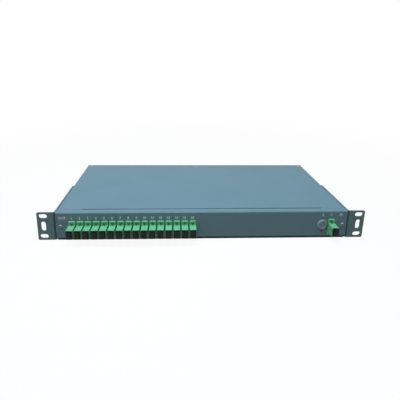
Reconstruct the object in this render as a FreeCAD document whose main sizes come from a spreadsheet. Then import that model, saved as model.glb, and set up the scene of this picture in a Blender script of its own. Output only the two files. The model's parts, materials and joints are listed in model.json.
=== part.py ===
"""A 19 inch, one unit high PLC fibre splitter: a folded steel case with sixteen output ports and one
input port on its front, each a green SC/APC adapter closed by a black dust cap.

Millimetres, +Z up, the front faces -Y. The origin is the centre of the rack slots, on the plane where
the backs of the ears meet the rack's rails.
"""
import FreeCAD, Part
import math
import os
import Sketcher

Vector = FreeCAD.Vector

# ---------------------------------------------------------------------------------------------------
# Driving sizes. Each row is one cell of the sheet: alias, value, what it is.
# ---------------------------------------------------------------------------------------------------
SIZES = (
    ("slot_span", 465.1, "rack slots, left to right"),
    ("slot_rise", 31.75, "rack slots, bottom to top"),
    ("slot_edge", 8.75, "rack slot centre, in from the ear's outer edge"),
    ("slot_over", 5.925, "ear, above and below the slot centres"),
    ("slot_long", 12.0, "level rack slot, end to end"),
    ("slot_wide", 6.8, "level rack slot, across"),
    ("middle_slot_tall", 15.0, "upright middle slot, end to end"),
    ("middle_slot_wide", 7.0, "upright middle slot, across"),
    ("ear_sheet", 2.0, "ear sheet thickness"),
    ("ear_leg", 100.0, "ear leg, from the front face back"),
    ("ear_bend", 1.0, "ear bend, inside radius"),
    ("ear_corner", 2.0, "ear flange corner radius"),
    ("leg_corner", 6.0, "ear leg rear corner radius"),
    ("ear_screw_first", 26.0, "front ear screws, behind the front face"),
    ("ear_screw_step", 50.0, "ear screws, front pair to rear pair"),
    ("ear_screw_rise", 24.0, "ear screws, bottom row to top row"),
    ("slot_to_case", 17.55, "rack slot centre to the case's side wall"),
    ("case_depth", 200.0, "front face to rear wall"),
    ("ear_over", 0.4, "ears, above the top of the cover"),
    ("case_sheet", 1.2, "case sheet thickness"),
    ("case_bend", 0.8, "case bends, inside radius"),
    ("side_flange", 10.0, "top flange of each side wall"),
    ("rear_flange", 14.0, "top flange of the rear wall"),
    ("fold_gap", 0.4, "between neighbouring folds at a corner"),
    ("corner_relief", 3.2, "height of the notch at each rear bottom corner"),
    ("tab_reach", 14.0, "front tab of each side wall, inwards"),
    ("tab_height", 24.0, "front tab, bottom to top"),
    ("panel_lip", 9.5, "front panel's top lip, from the front face"),
    ("panel_foot", 16.0, "front panel's bottom lip, from the front face"),
    ("seam_gap", 0.4, "cover edge to panel lip"),
    ("tongue_in", 37.5, "ends of the cover's tongue, in from the side walls"),
    ("tongue_slit", 1.0, "slit beside each end of the tongue's step"),
    ("tongue_gap", 0.2, "tongue to the underside of the lip"),
    ("tongue_groove", 1.2, "open groove, from the lip to the foot of the tongue's step"),
    ("tongue_tip", 3.0, "tongue's front edge, behind the front face"),
    ("port_count", 16, "output ports"),
    ("port_step", 11.67, "output ports, centre to centre"),
    ("port_in", 23.4, "output port 1, in from the left side wall"),
    ("port_drop", 4.5, "output port centres, below mid-height"),
    ("inlet_in", 24.0, "input port 1, in from the right side wall"),
    ("inlet_rise", 1.0, "input port, above the output ports"),
    ("blank_step", 13.0, "plugged position to input port 1"),
    ("blank_hole", 14.0, "plugged hole, diameter"),
    ("blank_screw_drop", 10.6, "spare screw hole, below the plugged hole"),
    ("blank_screw_hole", 2.6, "spare screw hole, diameter"),
    ("adapter_wide", 9.2, "adapter body, across"),
    ("adapter_tall", 13.2, "adapter body, bottom to top"),
    ("adapter_front", 16.8, "adapter body, in front of the panel"),
    ("adapter_rear", 13.0, "adapter body, behind the panel's face"),
    ("collar_long", 1.6, "raised collar at the mouth"),
    ("collar_rise", 0.2, "collar, proud of the body"),
    ("plate_side", 0.1, "adapter flange, past the body at each side"),
    ("plate_reach", 6.2, "adapter flange, past the body above and below"),
    ("plate_thick", 2.2, "adapter flange thickness"),
    ("plate_corner", 1.2, "adapter flange corner cut"),
    ("flange_screw_out", 2.9, "adapter screw, above and below the body"),
    ("flange_hole", 2.3, "adapter screw hole, diameter"),
    ("socket_wide", 7.5, "connector socket, across"),
    ("socket_tall", 9.1, "connector socket, bottom to top"),
    ("middle_wall", 2.0, "wall between the two sockets"),
    ("barrel_outside", 5.4, "sleeve barrel, diameter"),
    ("barrel_front", 6.5, "sleeve barrel, out of the middle wall"),
    ("hook_wide", 3.2, "latch hook, across"),
    ("hook_thick", 0.8, "latch hook thickness"),
    ("hook_long", 9.5, "latch hook, out of the middle wall"),
    ("hook_gap", 0.45, "latch hook to the socket wall"),
    ("keyway_wide", 2.2, "keyway slot in the side wall"),
    ("keyway_long", 10.0, "keyway, from the mouth"),
    ("cutout_gap", 0.2, "panel cut-out, round the adapter body"),
    ("sleeve_outside", 3.2, "alignment sleeve, outside diameter"),
    ("sleeve_grip", 0.03, "radial fit of a ferrule in its sleeve"),
    ("sleeve_long", 11.0, "alignment sleeve length"),
    ("sleeve_fit", 0.05, "radial fit of the sleeve in its barrel"),
    ("cap_wide", 8.8, "dust cap plate, across"),
    ("cap_tall", 12.6, "dust cap plate, bottom to top"),
    ("cap_plate", 1.4, "dust cap plate thickness"),
    ("cap_plug", 4.0, "dust cap plug, into the socket"),
    ("cap_wall", 1.0, "dust cap plug wall"),
    ("cap_fit", 0.1, "dust cap plug to the socket wall"),
    ("grip_wide", 5.6, "dust cap grip, across"),
    ("grip_tall", 9.4, "dust cap grip, bottom to top"),
    ("grip_long", 1.8, "dust cap grip, in front of the plate"),
    ("grip_round", 0.5, "dust cap grip, edge radius"),
    ("plug_cover", 1.0, "hole plug head, past the rim of its hole"),
    ("plug_rise", 2.6, "hole plug head, proud of the panel"),
    ("plug_round", 1.9, "hole plug head, edge radius"),
    ("plug_dish", 0.5, "dish in the plug head"),
    ("plug_dish_wide", 9.0, "dish in the plug head, diameter"),
    ("plug_pip", 2.4, "pip in the dish, diameter"),
    ("plug_stem", 7.0, "plug stem, into the case"),
    ("plug_wall", 1.2, "plug stem wall"),
    ("plug_fit", 0.05, "radial fit of the stem in its hole"),
    ("plug_slit", 1.5, "slits in the plug stem"),
    ("small_screw", 1.9, "adapter screw, shank diameter"),
    ("small_head", 3.8, "adapter screw, head diameter"),
    ("small_head_tall", 1.3, "adapter screw, head height"),
    ("small_screw_long", 6.0, "adapter screw, under the head"),
    ("case_screw", 3.0, "case screw, shank diameter"),
    ("case_head", 5.5, "case screw, head diameter"),
    ("case_head_tall", 1.8, "case screw, pan head height"),
    ("case_screw_long", 6.0, "case screw, under the head"),
    ("ear_screw", 4.0, "ear screw, shank diameter"),
    ("ear_head", 7.6, "ear screw, head diameter"),
    ("ear_head_tall", 2.4, "ear screw, head height"),
    ("ear_screw_long", 6.0, "ear screw, under the head"),
    ("thread_fit", 0.05, "radial fit of a screw in its thread"),
    ("screw_play", 0.2, "radial play of a screw in a through hole"),
    ("recess_wide", 0.2, "cross recess, across one slot, as a share of the head"),
    ("recess_share", 0.62, "cross recess span, as a share of the head"),
    ("panel_screw_in", 6.5, "panel screws, in from the side walls"),
    ("cover_screw_side", 8.0, "outer cover screws, in from the side walls"),
    ("cover_screw_in", 8.0, "cover screws, in from the rear wall"),
    ("foot_screw_side", 75.0, "outer screws under the panel, in from the side walls"),
    ("foot_screw_in", 9.0, "screws under the panel, behind the front face"),
    ("connector_grip_wide", 8.9, "inner connector grip, across"),
    ("connector_grip_tall", 10.8, "inner connector grip, bottom to top"),
    ("connector_grip_long", 11.0, "inner connector grip, length"),
    ("connector_gap", 0.4, "inner connector grip to the adapter"),
    ("connector_fit", 0.1, "inner connector to the socket wall"),
    ("ferrule", 2.5, "ferrule diameter"),
    ("ferrule_tip", 2.0, "ferrule tip, from the panel's front plane"),
    ("boot_long", 18.0, "strain relief boot length"),
    ("boot_wide", 5.6, "boot at the connector, diameter"),
    ("lead", 2.0, "one fibre lead, diameter"),
    ("lead_turn", 15.0, "lead bend radius"),
    ("lead_straight", 8.0, "lead, from the boot to its bend"),
    ("coil_thick", 12.0, "stored coil of leads, diameter"),
    ("spool_hub", 76.0, "spool hub, diameter"),
    ("spool_lip", 14.0, "spool rim, past the hub"),
    ("spool_sheet", 1.6, "spool rim thickness"),
    ("spool_foot", 24.0, "spool foot, diameter"),
    ("spool_wall", 2.0, "spool hub wall"),
    ("spool_gap", 0.3, "coil to the spool"),
    ("spool_apart", 6.0, "gap between the spool rims"),
    ("spool_past", 2.0, "right spool, past the last lead's bend"),
    ("module_tall", 12.0, "splitter module, bottom to top"),
    ("module_gap", 12.0, "stored coil to the splitter module"),
    ("module_side", 12.5, "splitter module to the input lead's bend"),
    ("module_rear", 5.0, "splitter module to the rear wall"),
    ("module_hole_in", 5.0, "module screw holes, in from the edges"),
    ("module_lid", 1.5, "module's lid and base, thickness"),
    ("module_inset", 0.6, "module's walls, in from the edge of its lid"),
    ("spacer", 7.0, "module spacer, diameter"),
)


class Size(float):
    """A number that also holds the sheet expression it stands for."""

    def __new__(cls, value, text):
        size = float.__new__(cls, value)
        size.text = text
        return size

    def _join(self, sign, other, value, flip=False):
        pair = (written(other), self.text) if flip else (self.text, written(other))
        return Size(value, "(%s %s %s)" % (pair[0], sign, pair[1]))

    def __add__(self, other):
        return self._join("+", other, float(self) + float(other))

    def __radd__(self, other):
        return self._join("+", other, float(self) + float(other), True)

    def __sub__(self, other):
        return self._join("-", other, float(self) - float(other))

    def __rsub__(self, other):
        return self._join("-", other, float(other) - float(self), True)

    def __mul__(self, other):
        return self._join("*", other, float(self) * float(other))

    def __rmul__(self, other):
        return self._join("*", other, float(self) * float(other), True)

    def __truediv__(self, other):
        return self._join("/", other, float(self) / float(other))

    def __neg__(self):
        return self * -1


def written(number):
    """The expression text of a Size, or of a plain number."""
    return number.text if isinstance(number, Size) else "%.6f" % number


class Sizes:
    """The sheet's sizes as attributes, each a Size bound to its own cell."""


def make_sheet(doc):
    """Fill the sheet and give each cell its alias."""
    sheet = doc.addObject("Spreadsheet::Sheet", "Sheet")
    sizes = Sizes()
    for row, (alias, value, meaning) in enumerate(SIZES, start=1):
        sheet.set("A%d" % row, meaning)
        sheet.set("B%d" % row, str(value))
        sheet.setAlias("B%d" % row, alias)
        setattr(sizes, alias, Size(value, "Sheet.%s" % alias))
    doc.recompute()
    return sizes


doc = FreeCAD.newDocument("FibreSplitter")
s = make_sheet(doc)

# Planes that several pieces share.
ear_top = s.slot_rise / 2 + s.slot_over
floor = -ear_top
front = -s.ear_sheet
rear = front + s.case_depth
slot_x = s.slot_span / 2
half = slot_x - s.slot_to_case
sheet = s.case_sheet
case_top = ear_top - s.ear_over
shelf = case_top - sheet
panel_back = front + sheet
seam = front + s.panel_lip + s.seam_gap
leg_end = front + s.ear_leg
output_z = -s.port_drop
inlet_z = output_z + s.inlet_rise
port_count = int(s.port_count)
mouth = -s.adapter_front
output_ports = [(s.port_in - half + s.port_step * number, output_z) for number in range(port_count)]
inlet_port = (half - s.inlet_in, inlet_z)
blank_x = inlet_port[0] - s.blank_step
ports = output_ports + [inlet_port]
flange_screw_z = s.adapter_tall / 2 + s.flange_screw_out
boot_end = s.adapter_rear + s.connector_gap + s.connector_grip_long + s.boot_long


# ---------------------------------------------------------------------------------------------------
# Sketches and features. A plane is named by the two axes it holds; SIDE is its normal's sign.
# ---------------------------------------------------------------------------------------------------
SIDE = {"XY": 1, "XZ": -1, "YZ": 1}


def bind(thing, path, size):
    """Tie one property to the sheet."""
    thing.setExpression(path, written(size))


def new_body(label, place=(0, 0, 0)):
    """An empty body, placed by the sheet."""
    body = doc.addObject("PartDesign::Body", label)
    body.Label = label
    body.AllowCompound = True
    for axis, size in zip("xyz", place):
        bind(body, "Placement.Base.%s" % axis, size)
    return body


def origin_part(body, role):
    """One of the body's own origin planes or axes."""
    return [part for part in body.Origin.OriginFeatures if part.Role == role][0]


def new_sketch(body, plane, level=0.0):
    """A sketch on one of the body's origin planes, moved to a level along the plane's axis."""
    sketch = body.newObject("Sketcher::SketchObject", body.Label + "_sketch")
    sketch.AttachmentSupport = [(origin_part(body, plane + "_Plane"), "")]
    sketch.MapMode = "FlatFace"
    bind(sketch, "AttachmentOffset.Base.z", level * SIDE[plane])
    return sketch


class Pen:
    """Draws bound outlines on one sketch, and hands the solver all of them at once."""

    def __init__(self, sketch):
        self.sketch = sketch
        self.geometry = []
        self.constraints = []
        self.bindings = []

    def constrain(self, kind, *values, size=None):
        """Add one constraint, tied to the sheet where it has a size."""
        if size is not None:
            self.bindings.append((len(self.constraints), size))
            values += (float(size),)
        self.constraints.append(Sketcher.Constraint(kind, *values))

    def pin(self, geometry, point, place):
        """Hold one point at its place from the sketch's origin."""
        self.constrain("DistanceX", -1, 1, geometry, point, size=place[0])
        self.constrain("DistanceY", -1, 1, geometry, point, size=place[1])

    def outline(self, points):
        """A closed outline of straight lines."""
        first = len(self.geometry)
        corners = [Vector(float(x), float(y), 0) for x, y in points]
        for start, end in zip(corners, corners[1:] + corners[:1]):
            self.geometry.append(Part.LineSegment(start, end))
        for number, place in enumerate(points):
            after = first + (number + 1) % len(points)
            self.constrain("Coincident", first + number, 2, after, 1)
            self.pin(first + number, 1, place)

    def rectangle(self, middle, wide, tall):
        """An upright rectangle about its middle."""
        x, y = middle
        self.outline([(x - wide / 2, y - tall / 2), (x + wide / 2, y - tall / 2),
                      (x + wide / 2, y + tall / 2), (x - wide / 2, y + tall / 2)])

    def circle(self, middle, diameter):
        """A circle about its middle."""
        centre = Vector(float(middle[0]), float(middle[1]), 0)
        self.geometry.append(Part.Circle(centre, Vector(0, 0, 1), float(diameter) / 2))
        index = len(self.geometry) - 1
        self.pin(index, 3, middle)
        self.constrain("Radius", index, size=diameter / 2)

    def slot(self, middle, long, wide, upright=False):
        """A slot with round ends, level or upright."""
        x, y = middle
        reach = (long - wide) / 2
        ends = [(x, y + reach), (x, y - reach)] if upright else [(x + reach, y), (x - reach, y)]
        turn = math.pi / 2 if upright else 0.0
        first = len(self.geometry)
        arcs = []
        for number, end in enumerate(ends):
            centre = Vector(float(end[0]), float(end[1]), 0)
            start = turn - math.pi / 2 + math.pi * number
            ring = Part.Circle(centre, Vector(0, 0, 1), float(wide) / 2)
            arcs.append(Part.ArcOfCircle(ring, start, start + math.pi))
        self.geometry += arcs
        self.geometry.append(Part.LineSegment(arcs[0].EndPoint, arcs[1].StartPoint))
        self.geometry.append(Part.LineSegment(arcs[1].EndPoint, arcs[0].StartPoint))
        for arc, point, line, end in ((0, 2, 2, 1), (1, 1, 2, 2), (1, 2, 3, 1), (0, 1, 3, 2)):
            self.constrain("Tangent", first + arc, point, first + line, end)
        for number, end in enumerate(ends):
            self.pin(first + number, 3, end)
        self.constrain("Radius", first, size=wide / 2)

    def finish(self):
        """Add everything drawn to the sketch and tie its sizes to the sheet."""
        self.sketch.addGeometry(self.geometry, False)
        self.sketch.addConstraint(self.constraints)
        for index, size in self.bindings:
            bind(self.sketch, "Constraints[%d]" % index, size)


def extrude(body, kind, plane, low, high, draw):
    """Pad or pocket what draw() sketches, from low to high along the plane's axis."""
    sketch = new_sketch(body, plane, low)
    pen = Pen(sketch)
    draw(pen)
    pen.finish()
    feature = body.newObject("PartDesign::" + kind, body.Label + "_" + kind.lower())
    feature.Profile = sketch
    feature.Reversed = (SIDE[plane] < 0) == (kind == "Pad")
    bind(feature, "Length", high - low)
    return feature


def pad(body, plane, low, high, draw):
    """Add what draw() sketches."""
    return extrude(body, "Pad", plane, low, high, draw)


def pocket(body, plane, low, high, draw):
    """Cut what draw() sketches, and check that it cuts."""
    before = solid_volume(body)
    feature = extrude(body, "Pocket", plane, low, high, draw)
    if solid_volume(body) >= before:
        raise RuntimeError("a pocket of %s cuts nothing" % body.Label)
    return feature


def solid_volume(body):
    """The body's volume after its last feature."""
    doc.recompute()
    return body.Tip.Shape.Volume


def edges_along(body, axis, places):
    """Names of the tip's straight edges along an axis whose other two coordinates are in places."""
    doc.recompute()
    keep = [index for index in range(3) if index != "XYZ".index(axis)]
    names = []
    for number, edge in enumerate(body.Tip.Shape.Edges, start=1):
        if len(edge.Vertexes) != 2:
            continue
        ends = [vertex.Point for vertex in edge.Vertexes]
        run = ends[1] - ends[0]
        if run.Length < 1e-6 or abs(abs(run["XYZ".index(axis)]) - run.Length) > 1e-6:
            continue
        spot = [(ends[0][index] + ends[1][index]) / 2 for index in keep]
        for place in places:
            if abs(spot[0] - float(place[0])) < 1e-4 and abs(spot[1] - float(place[1])) < 1e-4:
                names.append("Edge%d" % number)
    if not names:
        raise RuntimeError("no edge along %s found on %s" % (axis, body.Label))
    return names


def dress(body, kind, names, path, size):
    """Fillet or chamfer the tip's named edges."""
    base = body.Tip
    feature = body.newObject("PartDesign::" + kind, body.Label + "_" + kind.lower())
    feature.Base = (base, names)
    bind(feature, path, size)
    return feature


def round_edges(body, axis, places, radius):
    """Round the tip's edges along an axis."""
    return dress(body, "Fillet", edges_along(body, axis, places), "Radius", radius)


def rims(body, level, diameter, axis="Z"):
    """Names of the tip's whole circles of one diameter at a level along an axis."""
    doc.recompute()
    index = "XYZ".index(axis)
    names = []
    for number, edge in enumerate(body.Tip.Shape.Edges, start=1):
        box = edge.BoundBox
        lows, highs = (box.XMin, box.YMin, box.ZMin), (box.XMax, box.YMax, box.ZMax)
        flat = abs(lows[index] - float(level)) < 1e-4 and abs(highs[index] - float(level)) < 1e-4
        whole = len(edge.Vertexes) == 1 and abs(edge.Length - float(diameter) * math.pi) < 0.01
        if flat and whole:
            names.append("Edge%d" % number)
    return names


# ---------------------------------------------------------------------------------------------------
# The case
# ---------------------------------------------------------------------------------------------------
pieces = []


def keep(piece):
    """Add a finished piece to those that are written out."""
    pieces.append(piece)
    return piece


cover_screws = [((half - s.cover_screw_side) * way, rear - s.cover_screw_in) for way in (-1, 0, 1)]
foot_screws = [((half - s.foot_screw_side) * way, front + s.foot_screw_in) for way in (-1, 0, 1)]
panel_screws = [((half - s.panel_screw_in) * way, 0 * half) for way in (-1, 1)]
ear_screws = [(front + s.ear_screw_first + s.ear_screw_step * column, s.ear_screw_rise / 2 * way)
              for column in (0, 1) for way in (-1, 1)]
trunk_y = front + boot_end + s.lead_straight + s.lead_turn
coil_bend = s.spool_hub / 2 + s.spool_gap + s.coil_thick / 2
spool_y = trunk_y + coil_bend
right_spool = output_ports[-1][0] + s.lead_turn + s.spool_past
spool_rim = s.spool_hub + 2 * s.spool_lip
spools = [(right_spool - spool_rim - s.spool_apart, spool_y), (right_spool, spool_y)]
module_left = right_spool + coil_bend + s.coil_thick / 2 + s.module_gap
module_long = inlet_port[0] - s.lead_turn - s.module_side - module_left
module_middle = (module_left + module_long / 2, spool_y + coil_bend)
module_deep = 2 * (rear - sheet - s.module_rear - module_middle[1])
module_screws = [(module_middle[0] + (module_long / 2 - s.module_hole_in) * across,
                  module_middle[1] + (module_deep / 2 - s.module_hole_in) * along)
                 for across in (-1, 1) for along in (-1, 1)]
thread = s.case_screw + 2 * s.thread_fit
loose = s.case_screw + 2 * s.screw_play


def make_base():
    """The folded tray: floor, side walls with top flanges, front tabs, and the rear wall."""
    body = new_body("chassis_base")
    inner = half - sheet
    turn = rear - s.case_bend - sheet

    def section(pen):
        pen.outline([(-half, floor), (half, floor), (half, shelf), (half - s.side_flange, shelf),
                         (half - s.side_flange, shelf - sheet), (inner, shelf - sheet),
                         (inner, floor + sheet), (-inner, floor + sheet), (-inner, shelf - sheet),
                         (s.side_flange - half, shelf - sheet), (s.side_flange - half, shelf),
                         (-half, shelf)])

    def walls(pen):
        for way in (-1, 1):
            pen.rectangle(((half - sheet / 2) * way, (floor + s.corner_relief + shelf) / 2),
                      sheet, shelf - floor - s.corner_relief)

    def rear_fold(pen):
        pen.outline([(turn, floor), (rear, floor), (rear, shelf), (rear - sheet, shelf),
                         (rear - sheet, floor + sheet), (turn, floor + sheet)])

    def rear_top(pen):
        pen.rectangle((rear - s.rear_flange / 2, shelf - sheet / 2), s.rear_flange, sheet)

    def tabs(pen):
        for way in (-1, 1):
            pen.rectangle(((half - s.tab_reach / 2) * way, 0 * half), s.tab_reach, s.tab_height)

    def apron(pen):
        pen.rectangle((0 * half, floor + sheet / 2), 2 * (half - s.case_bend - sheet), sheet)

    pad(body, "XZ", panel_back, turn, section)
    bend_outside = s.case_bend + sheet
    round_edges(body, "Y", [(x, z) for x in (-half, half) for z in (floor, shelf)], bend_outside)
    folds = [(x, z) for x in (-inner, inner) for z in (floor + sheet, shelf - sheet)]
    round_edges(body, "Y", folds, s.case_bend)
    pad(body, "XZ", turn - s.case_bend, rear, walls)
    rear_half = inner - s.fold_gap
    pad(body, "YZ", -rear_half, rear_half, rear_fold)
    round_edges(body, "X", [(rear, floor)], bend_outside)
    round_edges(body, "X", [(rear - sheet, floor + sheet)], s.case_bend)
    flange_half = half - s.side_flange - s.fold_gap
    pad(body, "YZ", -flange_half, flange_half, rear_top)
    round_edges(body, "X", [(rear, shelf)], bend_outside)
    pad(body, "XZ", panel_back, panel_back + sheet, tabs)
    pad(body, "XZ", front, panel_back, apron)
    pocket(body, "XZ", panel_back, panel_back + 2 * s.case_bend,
           lambda pen: pen.rectangle((0 * half, shelf - s.case_bend), 2 * half, 2 * s.case_bend))
    pocket(body, "XZ", panel_back, panel_back + sheet,
           lambda pen: [pen.circle(place, thread) for place in panel_screws])
    pocket(body, "XY", shelf - sheet, shelf,
           lambda pen: [pen.circle(place, thread) for place in cover_screws])
    pocket(body, "XY", floor, floor + sheet,
           lambda pen: [pen.circle(place, thread) for place in module_screws + spools])
    pocket(body, "XY", floor, floor + sheet,
           lambda pen: [pen.circle(place, loose) for place in foot_screws])
    dress(body, "Chamfer", rims(body, floor, loose), "Size", (s.case_head - loose) / 2)
    pocket(body, "YZ", -half, half,
           lambda pen: [pen.circle(place, s.ear_screw + 2 * s.thread_fit) for place in ear_screws])
    return keep(body)


def make_panel():
    """The folded front panel with its lip, its foot and every cut-out."""
    body = new_body("front_panel")
    bottom = floor + sheet
    foot_half = half - sheet - s.case_bend - s.fold_gap

    def face(pen):
        pen.outline([(front, bottom), (panel_back, bottom), (panel_back, case_top - sheet),
                         (front + s.panel_lip, case_top - sheet), (front + s.panel_lip, case_top),
                         (front, case_top)])

    def foot(pen):
        pen.rectangle((front + (s.panel_foot + sheet) / 2, bottom + sheet / 2), s.panel_foot - sheet, sheet)

    def cutouts(pen):
        for port in ports:
            pen.rectangle(port, s.adapter_wide + 2 * s.cutout_gap, s.adapter_tall + 2 * s.cutout_gap)
            for way in (-1, 1):
                pen.circle((port[0], port[1] + flange_screw_z * way), s.small_screw + 2 * s.thread_fit)

    pad(body, "YZ", -half, half, face)
    pad(body, "YZ", -foot_half, foot_half, foot)
    round_edges(body, "X", [(front, bottom), (front, case_top)], s.case_bend + sheet)
    round_edges(body, "X", [(panel_back, bottom + sheet), (panel_back, case_top - sheet)], s.case_bend)
    pocket(body, "XZ", front, panel_back, cutouts)
    pocket(body, "XZ", front, panel_back, lambda pen: pen.circle((blank_x, 0 * half), s.blank_hole))
    pocket(body, "XZ", front, panel_back,
           lambda pen: pen.circle((blank_x, -s.blank_screw_drop), s.blank_screw_hole))
    pocket(body, "XZ", front, panel_back,
           lambda pen: [pen.circle(place, loose) for place in panel_screws])
    pocket(body, "XY", bottom, bottom + sheet,
           lambda pen: [pen.circle(place, thread) for place in foot_screws])
    return keep(body)


def make_cover():
    """The flat cover with a tongue, pressed down at 45 degrees, that tucks under the panel's lip."""
    body = new_body("top_cover")
    tip = front + s.tongue_tip
    low = shelf - s.tongue_gap
    foot = front + s.panel_lip + s.tongue_groove
    shoulder = foot + case_top - low
    # The step's underside is set back so that the pressed sheet keeps its thickness.
    back = sheet * math.tan(math.pi / 8)
    tongue_half = half - s.tongue_in

    def plate(pen):
        slit = tongue_half + s.tongue_slit
        pen.outline([(-half, seam), (-slit, seam), (-slit, shoulder), (slit, shoulder), (slit, seam),
                         (half, seam), (half, rear), (-half, rear)])

    def tongue(pen):
        pen.outline([(shoulder + back, shelf), (shoulder + back, case_top), (shoulder, case_top),
                         (foot, low), (tip, low), (tip, low - sheet), (foot + back, low - sheet)])

    pad(body, "XY", shelf, case_top, plate)
    pad(body, "YZ", -tongue_half, tongue_half, tongue)
    round_edges(body, "X", [(rear, case_top)], s.case_bend)
    round_edges(body, "Y", [(-half, case_top), (half, case_top)], s.case_bend)
    pocket(body, "XY", shelf, case_top, lambda pen: [pen.circle(place, loose) for place in cover_screws])
    dress(body, "Chamfer", rims(body, case_top, loose), "Size", (s.case_head - loose) / 2)
    return keep(body)


def make_ear(label, way):
    """One folded rack ear: a slotted flange and a leg along the side wall."""
    body = new_body(label)
    edge = slot_x + s.slot_edge
    outer = half + s.ear_sheet

    def section(pen):
        pen.outline([(half * way, front), (edge * way, front), (edge * way, 0 * edge),
                         (outer * way, 0 * edge), (outer * way, leg_end), (half * way, leg_end)])

    pad(body, "XY", floor, ear_top, section)
    round_edges(body, "Z", [(half * way, front)], s.ear_bend + s.ear_sheet)
    round_edges(body, "Z", [(outer * way, 0)], s.ear_bend)
    round_edges(body, "Y", [(edge * way, floor), (edge * way, ear_top)], s.ear_corner)
    round_edges(body, "X", [(leg_end, floor), (leg_end, ear_top)], s.leg_corner)
    for rise in (-s.slot_rise / 2, s.slot_rise / 2):
        pocket(body, "XZ", front, 0 * edge,
               lambda pen: pen.slot((slot_x * way, rise), s.slot_long, s.slot_wide))
    pocket(body, "XZ", front, 0 * edge,
           lambda pen: pen.slot((slot_x * way, 0 * edge), s.middle_slot_tall, s.middle_slot_wide, True))
    low, high = sorted((half * way, outer * way))
    pocket(body, "YZ", low, high,
           lambda pen: [pen.circle(place, s.ear_screw + 2 * s.screw_play) for place in ear_screws])
    return keep(body)


# ---------------------------------------------------------------------------------------------------
# The ports. Adapters and caps are drawn about the port's centre on the panel's front plane.
# ---------------------------------------------------------------------------------------------------
def make_adapter(label, port):
    """One flanged SC adapter: two sockets, a sleeve barrel, latch hooks and a keyway."""
    body = new_body(label, (port[0], front, port[1]))
    wall = -s.middle_wall
    centre = (0 * half, 0 * half)
    hook_at = s.socket_tall / 2 - s.hook_gap - s.hook_thick / 2
    plate = (s.adapter_wide / 2 + s.plate_side, s.adapter_tall / 2 + s.plate_reach)
    cut = s.plate_corner

    def flange(pen):
        corners = []
        for x, y in ((-1, -1), (1, -1), (1, 1), (-1, 1)):
            level = (plate[0] * x, (plate[1] - cut) * y)
            upright = ((plate[0] - cut) * x, plate[1] * y)
            corners += [level, upright] if x * y > 0 else [upright, level]
        pen.outline(corners)

    def hooks(pen):
        for way in (-1, 1):
            pen.rectangle((0 * half, hook_at * way), s.hook_wide, s.hook_thick)

    def screw_holes(pen):
        for way in (-1, 1):
            pen.circle((0 * half, flange_screw_z * way), s.flange_hole)

    def keyway(pen):
        wall_thick = (s.adapter_wide - s.socket_wide) / 2 + s.collar_rise
        pen.rectangle(((s.socket_wide + wall_thick) / -2, 0 * half), wall_thick, s.keyway_wide)

    def socket(pen):
        pen.rectangle(centre, s.socket_wide, s.socket_tall)

    pad(body, "XZ", mouth, s.adapter_rear,
        lambda pen: pen.rectangle(centre, s.adapter_wide, s.adapter_tall))
    pad(body, "XZ", mouth, mouth + s.collar_long,
        lambda pen: pen.rectangle(centre, s.adapter_wide + 2 * s.collar_rise,
                                 s.adapter_tall + 2 * s.collar_rise))
    pad(body, "XZ", -s.plate_thick, 0 * half, flange)
    pocket(body, "XZ", mouth, wall, socket)
    pocket(body, "XZ", 0 * half, s.adapter_rear, socket)
    pad(body, "XZ", wall - s.barrel_front, s.barrel_front, lambda pen: pen.circle(centre, s.barrel_outside))
    pad(body, "XZ", wall - s.hook_long, wall, hooks)
    pocket(body, "XZ", wall - s.barrel_front, s.barrel_front,
           lambda pen: pen.circle(centre, s.sleeve_outside + 2 * s.sleeve_fit))
    pocket(body, "XZ", mouth, mouth + s.keyway_long, keyway)
    pocket(body, "XZ", -s.plate_thick, 0 * half, screw_holes)
    return keep(body)


def make_cap(label, port):
    """One dust cap: a hollow plug, a cover plate and a grip."""
    body = new_body(label, (port[0], front, port[1]))
    centre = (0 * half, 0 * half)
    wide = s.socket_wide - 2 * s.cap_fit
    tall = s.socket_tall - 2 * s.cap_fit
    face = mouth - s.cap_plate

    def grip(pen):
        pen.rectangle(centre, s.grip_wide, s.grip_tall)

    pad(body, "XZ", face - s.grip_long, face, grip)
    side, end = s.grip_wide / 2, s.grip_tall / 2
    round_edges(body, "Y", [(side * x, end * z) for x in (-1, 1) for z in (-1, 1)], s.grip_round)
    pad(body, "XZ", face, mouth, lambda pen: pen.rectangle(centre, s.cap_wide, s.cap_tall))
    pad(body, "XZ", mouth, mouth + s.cap_plug, lambda pen: pen.rectangle(centre, wide, tall))
    pocket(body, "XZ", mouth, mouth + s.cap_plug,
           lambda pen: pen.rectangle(centre, wide - 2 * s.cap_wall, tall - 2 * s.cap_wall))
    return keep(body)


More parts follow.
